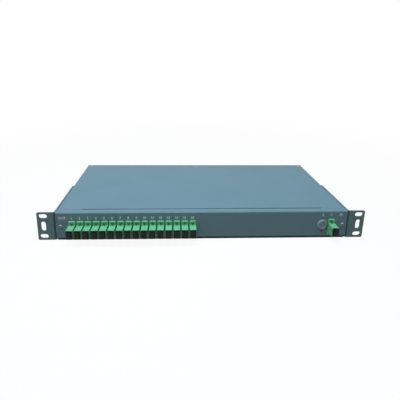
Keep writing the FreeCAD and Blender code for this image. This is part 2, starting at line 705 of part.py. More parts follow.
def make_hole_plug():
    """The round snap-in plug: a dished head on a slit stem."""
    body = new_body("hole_plug", (blank_x, front, 0 * half))
    head = s.blank_hole / 2 + s.plug_cover
    stem = s.blank_hole / 2 - s.plug_fit
    bore = stem - s.plug_wall
    pip = s.plug_pip / 2
    zero = 0 * head
    dish_floor = -(s.plug_rise - s.plug_dish)
    sketch = new_sketch(body, "XY")
    pen = Pen(sketch)
    pen.outline([(zero, -s.plug_rise), (pip, -s.plug_rise), (pip, dish_floor),
                     (s.plug_dish_wide / 2, dish_floor), (s.plug_dish_wide / 2 + s.plug_dish, -s.plug_rise),
                     (head, -s.plug_rise), (head, zero), (stem, zero), (stem, s.plug_stem),
                     (bore, s.plug_stem), (bore, zero - s.plug_wall / 2), (zero, zero - s.plug_wall / 2)])
    pen.finish()
    turned = body.newObject("PartDesign::Revolution", body.Label + "_revolution")
    turned.Profile = sketch
    turned.ReferenceAxis = (origin_part(body, "Y_Axis"), [""])
    turned.Angle = 360
    dress(body, "Fillet", rims(body, -s.plug_rise, 2 * head, "Y"), "Radius", s.plug_round)
    pocket(body, "XZ", s.plug_stem / 3, s.plug_stem,
           lambda pen: pen.rectangle((zero, zero), 2 * head, s.plug_slit))
    pocket(body, "XZ", s.plug_stem / 3, s.plug_stem,
           lambda pen: pen.rectangle((zero, zero), s.plug_slit, 2 * head))
    return keep(body)


# ---------------------------------------------------------------------------------------------------
# Fasteners and other groups of like pieces: one shape set at each of its places
# ---------------------------------------------------------------------------------------------------
def spun(points):
    """A solid turned about Z from a half section of (radius, height) points."""
    wire = Part.makePolygon([Vector(float(r), 0, float(z)) for r, z in points + points[:1]])
    return Part.Face(wire).revolve(Vector(), Vector(0, 0, 1), 360)


def cross(head, deep):
    """The cutter of a cross recess in a head of the given diameter, sunk from z = 0."""
    span = float(head * s.recess_share)
    wide = float(head * s.recess_wide)
    bars = [Part.makeBox(a, b, float(deep), Vector(-a / 2, -b / 2, -float(deep)))
            for a, b in ((span, wide), (wide, span))]
    return bars[0].fuse(bars[1])


def pan_screw(shank, head, tall, long, recess=True):
    """A pan-head screw: its head's seat is at z = 0 and its shank points down."""
    shoulder = head / 2 - tall * 0.4
    screw = spun([(0, -long), (shank / 2, -long), (shank / 2, 0), (head / 2, 0), (head / 2, tall * 0.5),
                  (shoulder, tall), (0, tall)])
    if not recess:
        return screw
    cutter = cross(head, tall * 0.55)
    cutter.translate(Vector(0, 0, float(tall)))
    return screw.cut(cutter)


def flush_screw(shank, head, long):
    """A countersunk screw: its flat top is at z = 0."""
    slope = (head - shank) / 2
    screw = spun([(0, -long), (shank / 2, -long), (shank / 2, -slope), (head / 2, 0), (0, 0)])
    return screw.cut(cross(head, slope * 0.8))


def set_at(shape, place, toward=(0, 0, 1)):
    """A copy of a shape with its +Z turned toward a direction and its origin moved to a place."""
    copy = shape.copy()
    turn = FreeCAD.Rotation(Vector(0, 0, 1), Vector(*toward))
    copy.Placement = FreeCAD.Placement(Vector(*[float(size) for size in place]), turn)
    return copy


def group(label, shapes):
    """One node from separate like solids."""
    feature = doc.addObject("Part::Feature", label)
    feature.Label = label
    feature.Shape = shapes[0] if len(shapes) == 1 else Part.makeCompound(shapes)
    return keep(feature)


def make_screws():
    """Every screw of the case and the ports."""
    case_screw = pan_screw(s.case_screw, s.case_head, s.case_head_tall, s.case_screw_long)
    flush = flush_screw(s.case_screw, s.case_head, s.case_screw_long)
    side = pan_screw(s.ear_screw, s.ear_head, s.ear_head_tall, s.ear_screw_long)
    small = pan_screw(s.small_screw, s.small_head, s.small_head_tall, s.small_screw_long, False)
    group("panel_screws", [set_at(case_screw, (x, front, z), (0, -1, 0)) for x, z in panel_screws])
    group("cover_screws", [set_at(flush, (x, y, case_top)) for x, y in cover_screws])
    group("foot_screws", [set_at(flush, (x, y, floor), (0, 0, -1)) for x, y in foot_screws])
    group("ear_screws", [set_at(side, ((half + s.ear_sheet) * way, y, z), (way, 0, 0))
                         for way in (-1, 1) for y, z in ear_screws])
    group("flange_screws", [set_at(small, (x, front - s.plate_thick, z + flange_screw_z * way), (0, -1, 0))
                            for x, z in ports for way in (-1, 1)])


def make_sleeves():
    """The split ceramic sleeve in each adapter's barrel."""
    outer, inner = s.sleeve_outside / 2, s.ferrule / 2 + s.sleeve_grip
    low = (s.middle_wall + s.sleeve_long) / -2
    sleeve = spun([(inner, low), (outer, low), (outer, low + s.sleeve_long), (inner, low + s.sleeve_long)])
    group("alignment_sleeves", [set_at(sleeve, (x, front, z), (0, 1, 0)) for x, z in ports])


def make_connectors():
    """The connector plugged into each adapter's rear socket: ferrule, body, grip and boot."""
    wide = s.socket_wide - 2 * s.connector_fit
    tall = s.socket_tall - 2 * s.connector_fit
    nose = s.barrel_front + s.connector_gap
    grip = s.adapter_rear + s.connector_gap
    tail = grip + s.connector_grip_long

    def block(across, up, low, high):
        corner = Vector(float(across / -2), float(up / -2), float(low))
        return Part.makeBox(float(across), float(up), float(high - low), corner)

    overlap = nose + s.connector_gap
    radius = s.ferrule / 2
    ferrule = spun([(0, s.ferrule_tip), (radius, s.ferrule_tip), (radius, overlap), (0, overlap)])
    boot = spun([(0, tail), (s.boot_wide / 2, tail), (s.lead / 2 + s.lead / 4, boot_end), (0, boot_end)])
    shape = block(wide, tall, nose, tail - s.connector_gap).fuse([
        block(s.connector_grip_wide, s.connector_grip_tall, grip, tail), ferrule, boot])
    group("inner_connectors", [set_at(shape.removeSplitter(), (x, front, z), (0, 1, 0)) for x, z in ports])


def tube(points, diameter, turn):
    """A round tube along level straight runs joined by tangent arcs."""
    spots = [Vector(*[float(size) for size in point]) for point in points]
    edges = []
    start = spots[0]
    for before, corner, after in zip(spots, spots[1:], spots[2:]):
        into = (corner - before).normalize()
        out = (after - corner).normalize()
        setback = float(turn) * math.tan(into.getAngle(out) / 2)
        first, last = corner - into * setback, corner + out * setback
        side = (out - into).normalize()
        middle = corner + side * (float(turn) / math.cos(into.getAngle(out) / 2) - float(turn))
        edges += [Part.LineSegment(start, first).toShape(), Part.Arc(first, middle, last).toShape()]
        start = last
    edges.append(Part.LineSegment(start, spots[-1]).toShape())
    path = Part.Wire(edges)
    heading = (spots[1] - spots[0]).normalize()
    ring = Part.Wire([Part.Circle(spots[0], heading, float(diameter) / 2).toShape()])
    return path.makePipeShell([ring], True, False)


def make_coil(z):
    """The stored coil: a race track wound round both spools."""
    radius = float(s.coil_thick) / 2
    (left, middle), (right, _) = [(float(x), float(y)) for x, y in spools]
    halves = []
    for x, start in ((left, 90), (right, 270)):
        bend = Part.makeTorus(float(coil_bend), radius, Vector(), Vector(0, 0, 1), 0, 360, 180)
        turn = FreeCAD.Rotation(Vector(0, 0, 1), start)
        bend.Placement = FreeCAD.Placement(Vector(x, middle, float(z)), turn)
        halves.append(bend)
    for way in (-1, 1):
        corner = Vector(left, middle + float(coil_bend) * way, float(z))
        halves.append(Part.makeCylinder(radius, right - left, corner, Vector(1, 0, 0)))
    return halves[0].fuse(halves[1:])


def make_loom():
    """The output leads: one from each boot into a common trunk, the stored coil, and the module's tail."""
    z = output_z
    start_y = front + boot_end
    inside = s.coil_thick
    left, right = spools[0][0], spools[1][0]
    back_y = spool_y + coil_bend
    trunk = tube([(output_ports[0][0] + s.lead_turn, trunk_y, z), (left + inside, trunk_y, z)],
                 s.coil_thick * 0.7, s.lead_turn)
    tail = tube([(right - inside, back_y, z), (module_left + s.module_inset, back_y, z)],
                s.coil_thick * 0.5, s.lead_turn)
    past_bend = s.lead_turn + s.lead / 2
    leads = [tube([(x, start_y, port_z), (x, trunk_y, port_z), (x + past_bend, trunk_y, port_z)],
                  s.lead, s.lead_turn) for x, port_z in output_ports]
    group("output_leads", [make_coil(z).fuse([trunk, tail] + leads).removeSplitter()])


def make_inlet_lead():
    """The input lead, from its boot round to the module's right face."""
    x, z = inlet_port
    end = module_left + module_long - s.module_inset
    y = module_middle[1]
    path = [(x, front + boot_end, z), (x, y, z), (end, y, z)]
    group("input_lead", [tube(path, s.lead, s.lead_turn)])


def make_spool(label, place):
    """One raised fibre spool: a hollow hub between two rims, on a foot."""
    body = new_body(label, (place[0], place[1], 0 * half))
    zero = 0 * half
    deck = floor + sheet
    low = output_z - s.coil_thick / 2 - s.spool_gap
    high = output_z + s.coil_thick / 2 + s.spool_gap
    hub, rim, foot = s.spool_hub / 2, spool_rim / 2, s.spool_foot / 2
    sketch = new_sketch(body, "XZ")
    pen = Pen(sketch)
    pen.outline([(thread / 2, deck), (foot, deck), (foot, low - s.spool_sheet), (rim, low - s.spool_sheet),
                     (rim, low), (hub, low), (hub, high), (rim, high), (rim, high + s.spool_sheet),
                     (hub - s.spool_wall, high + s.spool_sheet), (hub - s.spool_wall, low + s.spool_sheet),
                     (thread / 2, low + s.spool_sheet)])
    pen.finish()
    turned = body.newObject("PartDesign::Revolution", label + "_revolution")
    turned.Profile = sketch
    turned.ReferenceAxis = (origin_part(body, "Z_Axis"), [""])
    turned.Angle = 360
    pocket(body, "XY", high - s.spool_gap, high + s.spool_sheet + s.spool_gap,
           lambda pen: [pen.rectangle(((hub + rim) / 2 * x, (hub + rim) / 2 * y), rim, rim)
                           for x in (-1, 1) for y in (-1, 1)])
    return keep(body), low + s.spool_sheet


def make_module():
    """The splitter module, its spacers and screws."""
    middle = module_middle
    low = output_z - s.module_tall / 2
    high = output_z + s.module_tall / 2
    body = new_body("splitter_module")
    inset = 2 * s.module_inset
    pad(body, "XY", low, high,
        lambda pen: pen.rectangle(middle, module_long - inset, module_deep - inset))
    for bottom, top in ((low, low + s.module_lid), (high - s.module_lid, high)):
        pad(body, "XY", bottom, top, lambda pen: pen.rectangle(middle, module_long, module_deep))
    pocket(body, "XY", low, high, lambda pen: [pen.circle(place, thread) for place in module_screws])
    keep(body)
    deck = floor + sheet
    reach = low - deck
    spacer = spun([(thread / 2, 0), (s.spacer / 2, 0), (s.spacer / 2, reach), (thread / 2, reach)])
    group("module_spacers", [set_at(spacer, (x, y, deck)) for x, y in module_screws])
    screw = pan_screw(s.case_screw, s.case_head, s.case_head_tall, high - floor)
    group("module_screws", [set_at(screw, (x, y, high)) for x, y in module_screws])


def build():
    """Make every piece."""
    make_base()
    make_panel()
    make_cover()
    make_ear("left_ear", -1)
    make_ear("right_ear", 1)
    for number, port in enumerate(output_ports, start=1):
        make_adapter("output_adapter_%02d" % number, port)
        make_cap("output_cap_%02d" % number, port)
    make_adapter("input_adapter", inlet_port)
    make_cap("input_cap", inlet_port)
    make_hole_plug()
    make_screws()
    make_sleeves()
    make_connectors()
    make_loom()
    make_inlet_lead()
    seats = [make_spool("spool_" + side, place)[1] for side, place in zip(("left", "right"), spools)]
    screw = pan_screw(s.case_screw, s.case_head, s.case_head_tall, seats[0] - floor)
    group("spool_screws", [set_at(screw, (x, y, seats[0])) for x, y in spools])
    make_module()


def write_out():
    """Check every object and every piece, then write one STEP file for each piece."""
    doc.recompute()
    for thing in doc.Objects:
        if {"Invalid", "Error"} & set(thing.State):
            raise RuntimeError("%s did not recompute" % thing.Label)
    for piece in pieces:
        if piece.Shape.isNull() or not piece.Shape.isValid() or not piece.Shape.Solids:
            raise RuntimeError("%s has no valid solid" % piece.Label)
    os.makedirs("parts", exist_ok=True)
    for piece in pieces:
        piece.Shape.exportStep("parts/%s.step" % piece.Label)


build()
write_out()
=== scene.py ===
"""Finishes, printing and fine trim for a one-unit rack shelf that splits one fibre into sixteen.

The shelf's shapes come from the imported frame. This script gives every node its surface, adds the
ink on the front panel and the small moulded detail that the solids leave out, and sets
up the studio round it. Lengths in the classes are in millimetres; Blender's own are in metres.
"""
import json
import logging
import math
from dataclasses import asdict, dataclass
from enum import Enum

import bmesh
import bpy
from mathutils import Matrix, Vector

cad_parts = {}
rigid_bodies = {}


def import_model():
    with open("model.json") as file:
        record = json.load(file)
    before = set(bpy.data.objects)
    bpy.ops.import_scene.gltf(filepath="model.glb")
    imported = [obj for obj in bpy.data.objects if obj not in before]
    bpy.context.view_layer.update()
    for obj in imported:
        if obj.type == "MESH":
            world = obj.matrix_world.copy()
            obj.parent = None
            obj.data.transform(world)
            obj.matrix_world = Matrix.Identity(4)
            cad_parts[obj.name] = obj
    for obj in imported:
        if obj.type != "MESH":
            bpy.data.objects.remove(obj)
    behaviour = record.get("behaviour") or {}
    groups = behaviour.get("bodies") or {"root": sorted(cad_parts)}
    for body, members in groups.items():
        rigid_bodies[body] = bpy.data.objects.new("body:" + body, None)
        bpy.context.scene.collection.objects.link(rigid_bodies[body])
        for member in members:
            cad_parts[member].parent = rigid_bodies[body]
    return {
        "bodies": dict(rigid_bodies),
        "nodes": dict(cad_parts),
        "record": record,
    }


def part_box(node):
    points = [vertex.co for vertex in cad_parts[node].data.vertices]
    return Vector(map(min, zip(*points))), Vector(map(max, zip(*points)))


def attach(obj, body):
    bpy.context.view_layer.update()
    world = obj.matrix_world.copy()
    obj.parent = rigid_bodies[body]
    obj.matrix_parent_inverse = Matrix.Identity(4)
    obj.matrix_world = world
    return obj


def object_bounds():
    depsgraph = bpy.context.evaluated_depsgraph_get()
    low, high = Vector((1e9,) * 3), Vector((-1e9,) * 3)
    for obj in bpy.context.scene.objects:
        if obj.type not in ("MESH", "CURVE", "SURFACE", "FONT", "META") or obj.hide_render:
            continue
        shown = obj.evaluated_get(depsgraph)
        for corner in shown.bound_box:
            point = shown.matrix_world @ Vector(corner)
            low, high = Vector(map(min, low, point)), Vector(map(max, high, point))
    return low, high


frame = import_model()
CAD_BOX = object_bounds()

logging.basicConfig(level=logging.INFO, format="%(name)s: %(message)s")
LOG = logging.getLogger("splitter_shelf")
MM = 0.001
FAR = 999.0
CHASSIS = "chassis"
UPRIGHT = Matrix.Rotation(math.pi / 2, 4, "X")


# ---------------------------------------------------------------------------------------------------
# Small tools
# ---------------------------------------------------------------------------------------------------
def linear(colour: str) -> tuple[float, float, float, float]:
    """Turns an sRGB hex colour into the linear colour that Blender's sockets hold.

    Args:
        colour: six hex digits with a leading hash.

    Returns:
        Red, green, blue and an alpha of one, linear.
    """
    channels = [int(colour[i:i + 2], 16) / 255 for i in (1, 3, 5)]
    lit = [c / 12.92 if c <= 0.04045 else ((c + 0.055) / 1.055) ** 2.4 for c in channels]
    return lit[0], lit[1], lit[2], 1.0


def per_metre(size: float) -> float:
    """The scale at which a texture's features have a given size.

    Args:
        size: the features' size, in millimetres.

    Returns:
        How many of them fit in a metre.
    """
    return 1 / (size * MM)


def add_node(tree: bpy.types.NodeTree, kind: str, inputs: dict | None = None, **settings) -> bpy.types.Node:
    """Adds a node to a shader or geometry tree, with its settings and links.

    Args:
        tree: the tree that gets the node.
        kind: the node's type name.
        inputs: a value, or another node's output socket, for each input by name or number.
        settings: the node's own properties.

    Returns:
        The new node.
    """
    node = tree.nodes.new(kind)
    for name, value in settings.items():
        setattr(node, name, value)
    for key, value in (inputs or {}).items():
        if isinstance(value, bpy.types.NodeSocket):
            tree.links.new(value, node.inputs[key])
        else:
            node.inputs[key].default_value = value
    return node


def work_out(tree: bpy.types.NodeTree, kind: str, operation: str, *values) -> bpy.types.NodeSocket:
    """Adds a maths node and gives its result.

    Args:
        tree: the tree that gets the node.
        kind: Math for numbers, or VectorMath for vectors.
        operation: what the node does.
        values: a value, or another node's output socket, for each of its inputs.

    Returns:
        The result's socket.
    """
    return add_node(tree, "ShaderNode" + kind, dict(enumerate(values)), operation=operation).outputs[0]


def place_piece(name: str, mesh: bpy.types.Mesh, material: bpy.types.Material,
                body: str) -> bpy.types.Object:
    """Puts a finished mesh into the scene as a piece of the shelf.

    Args:
        name: the piece's name.
        mesh: its mesh, with its place in its vertices.
        material: the finish of all its faces.
        body: the moving body that it rides on.

    Returns:
        The piece's object, at the origin.
    """
    mesh.name = name
    mesh.materials.clear()
    mesh.materials.append(material)
    mesh.polygons.foreach_set("material_index", [0] * len(mesh.polygons))
    piece = bpy.data.objects.new(name, mesh)
    bpy.context.scene.collection.objects.link(piece)
    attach(piece, body)
    LOG.info("%s: %d faces on %s", name, len(mesh.polygons), body)
    return piece


def join_up(name: str, meshes: list[bpy.types.Mesh]) -> bpy.types.Mesh:
    """Joins several meshes into one and removes them.

    Args:
        name: the joined mesh's name.
        meshes: the meshes to join.

    Returns:
        The joined mesh.
    """
    work = bmesh.new()
    for mesh in meshes:
        work.from_mesh(mesh)
        bpy.data.meshes.remove(mesh)
    joined = bpy.data.meshes.new(name)
    work.to_mesh(joined)
    work.free()
    return joined


def close_up(mesh: bpy.types.Mesh, merge: float = 0.001) -> bpy.types.Mesh:
    """Merges doubled points and turns every face outwards.

    Args:
        mesh: a closed mesh.
        merge: how near two points are when they count as one, in millimetres.

    Returns:
        The same mesh.
    """
    work = bmesh.new()
    work.from_mesh(mesh)
    bmesh.ops.remove_doubles(work, verts=work.verts, dist=merge * MM)
    bmesh.ops.recalc_face_normals(work, faces=work.faces)
    work.to_mesh(mesh)
    work.free()
    return mesh


# ---------------------------------------------------------------------------------------------------
# Finishes
# ---------------------------------------------------------------------------------------------------
@dataclass(frozen=True)
class Finish:
    """One real surface: its name, its colours and the marks that its making leaves.

    A finish has a broad drift in tone, a fine grain in tone and gloss, and a relief of its own.
    """

    name: str
    colour: str
    second: str
    rough: tuple[float, float]
    drift: float
    grain: float
    relief: float
    relief_deep: float
    metallic: float = 0.0
    glance: float = 0.5
    stretch: tuple[float, float, float] = (1.0, 1.0, 1.0)
    drift_share: float = 0.5

    def material(self) -> bpy.types.Material:
        """The finish as a material, made once and then shared.

        Returns:
            A node material that reads Object coordinates.
        """
        if self.name in bpy.data.materials:
            return bpy.data.materials[self.name]
        made = bpy.data.materials.new(self.name)
        made.use_nodes = True
        tree = made.node_tree
        shader = tree.nodes["Principled BSDF"]
        shader.inputs["Metallic"].default_value = self.metallic
        shader.inputs["Specular IOR Level"].default_value = self.glance
        where = add_node(tree, "ShaderNodeTexCoord").outputs["Object"]
        along = add_node(tree, "ShaderNodeMapping", {"Vector": where, "Scale": self.stretch}).outputs[0]
        tone = self.tone(tree, where, along)
        tree.links.new(tone, shader.inputs["Base Color"])
        tree.links.new(self.gloss(tree, along), shader.inputs["Roughness"])
        tree.links.new(self.skin(tree, along), shader.inputs["Normal"])
        made.diffuse_color = linear(self.colour)
        return made

    def tone(self, tree: bpy.types.NodeTree, where: bpy.types.NodeSocket,
             along: bpy.types.NodeSocket) -> bpy.types.NodeSocket:
        """Blends the two colours by a broad drift and a fine grain.

        Args:
            tree: the material's tree.
            where: object coordinates.
            along: the same, stretched along the grain.

        Returns:
            The colour's socket.
        """
        broad = add_node(tree, "ShaderNodeTexNoise", {
            "Vector": where, "Scale": per_metre(self.drift), "Detail": 2.0}).outputs[0]
        fine = add_node(tree, "ShaderNodeTexNoise", {
            "Vector": along, "Scale": per_metre(self.grain), "Detail": 3.0, "Roughness": 0.65}).outputs[0]
        share = add_node(tree, "ShaderNodeMix", {0: self.drift_share, 2: fine, 3: broad}).outputs[0]
        spread = add_node(tree, "ShaderNodeMapRange", {
            "Value": share, "From Min": 0.35, "From Max": 0.65}).outputs[0]
        blend = add_node(tree, "ShaderNodeMix", {
            0: spread, 6: linear(self.colour), 7: linear(self.second)}, data_type="RGBA")
        return blend.outputs[2]

    def gloss(self, tree: bpy.types.NodeTree, along: bpy.types.NodeSocket) -> bpy.types.NodeSocket:
        """Varies the roughness between its low and high end.

        Args:
            tree: the material's tree.
            along: object coordinates, stretched along the grain.

        Returns:
            The roughness socket.
        """
        patch = add_node(tree, "ShaderNodeTexNoise", {
            "Vector": along, "Scale": per_metre(self.grain * 3), "Detail": 3.0}).outputs[0]
        low, high = self.rough
        return add_node(tree, "ShaderNodeMapRange", {
            "Value": patch, "From Min": 0.3, "From Max": 0.7, "To Min": low, "To Max": high}).outputs[0]

    def skin(self, tree: bpy.types.NodeTree, along: bpy.types.NodeSocket) -> bpy.types.NodeSocket:
        """The surface's fine relief.

        Args:
            tree: the material's tree.
            along: object coordinates, stretched along the grain.

        Returns:
            The normal socket.
        """
        waves = add_node(tree, "ShaderNodeTexNoise", {
            "Vector": along, "Scale": per_metre(self.relief), "Detail": 2.0}).outputs[0]
        return add_node(tree, "ShaderNodeBump", {
            "Strength": 1.0, "Distance": self.relief_deep * MM, "Height": waves}).outputs[0]


@dataclass(frozen=True)
class Nook:
    """A box where shade is painted into the colour, such as in a recess, a groove or a bend.

    Its corners hold the distance outwards from the shelf's middle, the place from front to back and
    the height, in millimetres. So each nook is there on both sides of the shelf. The shade deepens
    over the soft distance from the box's faces inwards.
    """

    low: tuple[float, float, float]
    high: tuple[float, float, float]
    soft: float
    shade: float


@dataclass(frozen=True)
class NookFinish(Finish):
    """A finish with shade painted into its colour in one nook."""

    nook: Nook = Nook((-FAR, -FAR, -FAR), (FAR, FAR, FAR), 0.3, 1.0)

    def tone(self, tree: bpy.types.NodeTree, where: bpy.types.NodeSocket,
             along: bpy.types.NodeSocket) -> bpy.types.NodeSocket:
        """Paints shade into the finish inside the nook, darkening its colour.

        Args:
            tree: the material's tree.
            where: object coordinates.
            along: the same, stretched along the grain.

        Returns:
            The colour's socket.
        """
        plain = super().tone(tree, where, along)
        place = add_node(tree, "ShaderNodeSeparateXYZ", {0: where}).outputs
        out = work_out(tree, "Math", "ABSOLUTE", place[0])
        spot = add_node(tree, "ShaderNodeCombineXYZ", {0: out, 1: place[1], 2: place[2]}).outputs[0]
        above = work_out(tree, "VectorMath", "SUBTRACT", spot, Vector(self.nook.low) * MM)
        below = work_out(tree, "VectorMath", "SUBTRACT", Vector(self.nook.high) * MM, spot)
        inside = work_out(tree, "VectorMath", "MINIMUM", above, below)
        deep = add_node(tree, "ShaderNodeSeparateXYZ", {0: inside}).outputs
        least = work_out(tree, "Math", "MINIMUM", deep[0], deep[1])
        least = work_out(tree, "Math", "MINIMUM", least, deep[2])
        # Painted shade: the colour is scaled down to the nook's shade value over the soft distance inwards.
        light = add_node(tree, "ShaderNodeMapRange", {
            "Value": least, "From Max": self.nook.soft * MM, "To Min": 1.0,
            "To Max": self.nook.shade}).outputs[0]
        return add_node(tree, "ShaderNodeVectorMath", {0: plain, "Scale": light},
                        operation="SCALE").outputs[0]


def shaded(base: Finish, nook: Nook, part: str = "") -> NookFinish:
    """The same finish on one part, with shade painted into a nook.

    Args:
        base: the finish.
        nook: where shade is painted into its colour.
        part: what its name ends in.

    Returns:
        The part's own finish.
    """
    return NookFinish(**(asdict(base) | {"name": base.name + part}), nook=nook)


@dataclass(frozen=True)
class TurnedFinish(Finish):
    """A turned metal, whose relief is the tool's rings along the part's upright axis."""

    pitch: float = 0.4

    def skin(self, tree: bpy.types.NodeTree, along: bpy.types.NodeSocket) -> bpy.types.NodeSocket:
        """Tool rings, one for each step of the feed.

        Args:
            tree: the material's tree.
            along: object coordinates.

        Returns:
            The normal socket.
        """
        rings = add_node(tree, "ShaderNodeTexWave", {
            "Vector": along, "Scale": per_metre(self.pitch) / 20, "Distortion": 0.3},
            bands_direction="Z").outputs[1]
        return add_node(tree, "ShaderNodeBump", {
            "Strength": 1.0, "Distance": self.relief_deep * MM, "Height": rings}).outputs[0]


# Polyester powder coat on folded steel, sprayed and baked: an even satin skin with a soft
# orange-peel ripple about 1.5 mm wide, which blurs every reflection.
CASE_PAINT = Finish("powder_coat_blue_grey", "#688A94", "#63858F", (0.44, 0.56), 60, 0.9, 1.5, 0.012,
                    glance=0.3)
# A greyer coat of the same kind on the ears.
EAR_PAINT = Finish("powder_coat_slate", "#658487", "#5F7F83", (0.46, 0.58), 45, 0.9, 1.5, 0.012,
                   glance=0.3)
# Injection-moulded PBT with a fine spark-eroded skin, drawn at 0.5 mm so that it shows.
ADAPTER_GREEN = Finish("moulded_pbt_green", "#74CA93", "#69BF88", (0.30, 0.42), 9, 0.5, 0.5, 0.004)
# Soft low-density polyethylene, moulded: dull, with a faint sheen on its edges.
CAP_BLACK = Finish("moulded_polyethylene_black", "#151615", "#1B1C1B", (0.38, 0.52), 6, 0.4, 0.6, 0.006,
                   glance=0.25)
# Nylon, moulded: a waxy grey that scatters light.
PLUG_GREY = Finish("moulded_nylon_grey", "#7F969B", "#788E94", (0.32, 0.45), 8, 0.5, 0.7, 0.005)
# Bright zinc plate on cold-headed steel, tumbled in a barrel: fine dents and a blue-white tone.
ZINC_PLATE = Finish("zinc_plated_steel", "#B9C0C6", "#A3ABB3", (0.28, 0.42), 3, 0.3, 0.5, 0.006,
                    metallic=1.0)
# The same plate gone dull, on the two pan heads of the front.
DULL_PLATE = Finish("zinc_plated_panel_screw", "#98A4A4", "#8A9697", (0.45, 0.6), 3, 0.3, 0.5, 0.006,
                    metallic=0.3)
# Blackened small screws: a dark oxide, slightly oily, on cold-headed steel. The green in both of its
# colours is a painted reflection of the green adapters round the screws.
BLACK_OXIDE_PAINTED_REFLECTION = Finish("black_oxide_steel_painted_reflection", "#45605A", "#3B544D", (0.40, 0.55), 3, 0.3, 0.4, 0.004,
                     metallic=0.3)
# Zirconia ceramic, ground and polished: dense white and nearly a mirror.
ZIRCONIA = Finish("polished_zirconia", "#F1EFE6", "#E9E7DD", (0.08, 0.14), 4, 0.4, 0.8, 0.001)
# Low-smoke jacket drawn through a die: matte white with faint lines.
LEAD_JACKET = Finish("extruded_lead_jacket", "#ECEBE2", "#E2E1D7", (0.45, 0.6), 12, 0.5, 0.6, 0.006)
# ABS spools and splitter box, moulded.
SPOOL_BLACK = Finish("moulded_abs_black", "#232526", "#2A2C2D", (0.4, 0.55), 14, 0.6, 0.7, 0.006)
MODULE_GREY = Finish("moulded_abs_grey", "#C6C8C3", "#BEC0BB", (0.38, 0.5), 20, 0.6, 0.7, 0.006)
# Free-cutting brass, turned: a ring for each step of the tool's feed, drawn 0.4 mm apart.
TURNED_BRASS = TurnedFinish("turned_brass", "#C9A659", "#B99549", (0.2, 0.32), 6, 0.4, 0.4, 0.01,
                            metallic=1.0)
# Screen-printed ink: thin, matte white, a little uneven where the mesh let less through.
SCREEN_INK = Finish("screen_ink_white", "#F4F8F7", "#E2E9E8", (0.5, 0.65), 4, 0.35, 0.5, 0.004)

FINISH_OF_SLOT: dict[str, Finish] = {
    "case_paint": CASE_PAINT,
    "ear_paint": EAR_PAINT,
    "adapter_green": ADAPTER_GREEN,
    "cap_black": CAP_BLACK,
    "plug_grey": PLUG_GREY,
    "screw_steel": ZINC_PLATE,
    "screw_black": BLACK_OXIDE_PAINTED_REFLECTION,
    "sleeve_ceramic": ZIRCONIA,
    "connector_green": ADAPTER_GREEN,
    "lead_white": LEAD_JACKET,
    "spool_plastic": SPOOL_BLACK,
    "module_plastic": MODULE_GREY,
    "spacer_metal": TURNED_BRASS,
}


class Slot(Enum):
    """Three material slots, named for the added pieces; nothing reads them, and the pieces take their
    finishes straight from the finish constants.
    """

    PANEL = "case_paint"
    ADAPTER = "adapter_green"
    CAP = "cap_black"


@dataclass(frozen=True)
class ShelfNooks:
    """The nooks of the shelf where shade is painted into the colour, each worked out from the parts round
    it.
    """

    recess_share: float = 0.4
    lip_deep: float = 9.5
    groove_deep: float = 4.0
    under_face: float = 0.05
    fold_in: float = 1.0
    fold_out: float = 3.2
    fold_deep: float = 3.0
    bend_below: float = 1.0
    bend_tall: float = 2.4
    edge_deep: float = 1.4
    edge_tall: float = 0.8

    def recess(self) -> Nook:
        """Painted shade in the cross recess in the head of each panel screw.

        Returns:
            The nook.
        """
        low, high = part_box("panel_screws")
        head = (high.z - low.z) / 2 / MM
        middle, reach = high.x / MM - head, head * self.recess_share
        return Nook((middle - reach, -FAR, -reach), (middle + reach, FAR, reach), 0.3, 0.1)

    def groove(self) -> Nook:
        """Painted shade in the groove over the cover's tongue, behind the panel's lip.

        Returns:
            The nook.
        """
        low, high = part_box("top_cover")
        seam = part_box("front_panel")[0].y / MM + self.lip_deep
        return Nook((0, low.y / MM, 0),
                    (FAR, seam + self.groove_deep, high.z / MM - self.under_face), 0.3, 0.35)

    def fold(self) -> Nook:
        """Painted shade in the inside of each ear's fold, beside the case.

        Returns:
            The nook.
        """
        case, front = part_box("top_cover")[1].x / MM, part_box("left_ear")[0].y / MM
        return Nook((case - self.fold_in, -FAR, -FAR),
                    (case + self.fold_out, front + self.fold_deep, FAR), 0.7, 0.35)

    def bend(self) -> Nook:
        """Painted shade along the bend at the panel's bottom.

        Returns:
            The nook.
        """
        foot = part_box("front_panel")[0].z / MM
        return Nook((0, -FAR, foot - self.bend_below), (FAR, FAR, foot + self.bend_tall), 0.8, 0.3)

    def edge(self) -> Nook:
        """Painted shade, standing in for the ground shadow, on the cut front edge of the tray's floor under
        the panel's bend.

        Returns:
            The nook.
        """
        foot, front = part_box("front_panel")[0].z / MM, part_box("chassis_base")[0].y / MM
        return Nook((0, -FAR, -FAR), (FAR, front + self.edge_deep, foot + self.edge_tall), 0.4, 0.2)

    def finishes(self) -> dict[str, Finish]:
        """The finishes of the nodes that have shade painted into a nook.

        Returns:
            A finish for each such node's name.
        """
        # Shade painted into the screws' recesses, the groove behind the lip, the panel's bottom bend, the
        # tray's front edge and the ears' folds.
        ear = shaded(EAR_PAINT, self.fold())
        return {"panel_screws": shaded(DULL_PLATE, self.recess()),
                "top_cover": shaded(CASE_PAINT, self.groove(), "_cover"),
                "front_panel": shaded(CASE_PAINT, self.bend(), "_panel"),
                "chassis_base": shaded(CASE_PAINT, self.edge(), "_tray"),
                "left_ear": ear, "right_ear": ear}


def dress_nodes() -> None:
    """Gives every CAD node the finish of its material slot, or one of its own with shade painted into a
    nook.
    """
    own = ShelfNooks().finishes()
    for part in frame["record"]["subparts"]:
        node = frame["nodes"][part["node"]]
        finish = own.get(part["node"], FINISH_OF_SLOT[part["material_slot"]])
        node.data.materials.clear()
        node.data.materials.append(finish.material())
        LOG.info("%s: %s", part["node"], finish.name)


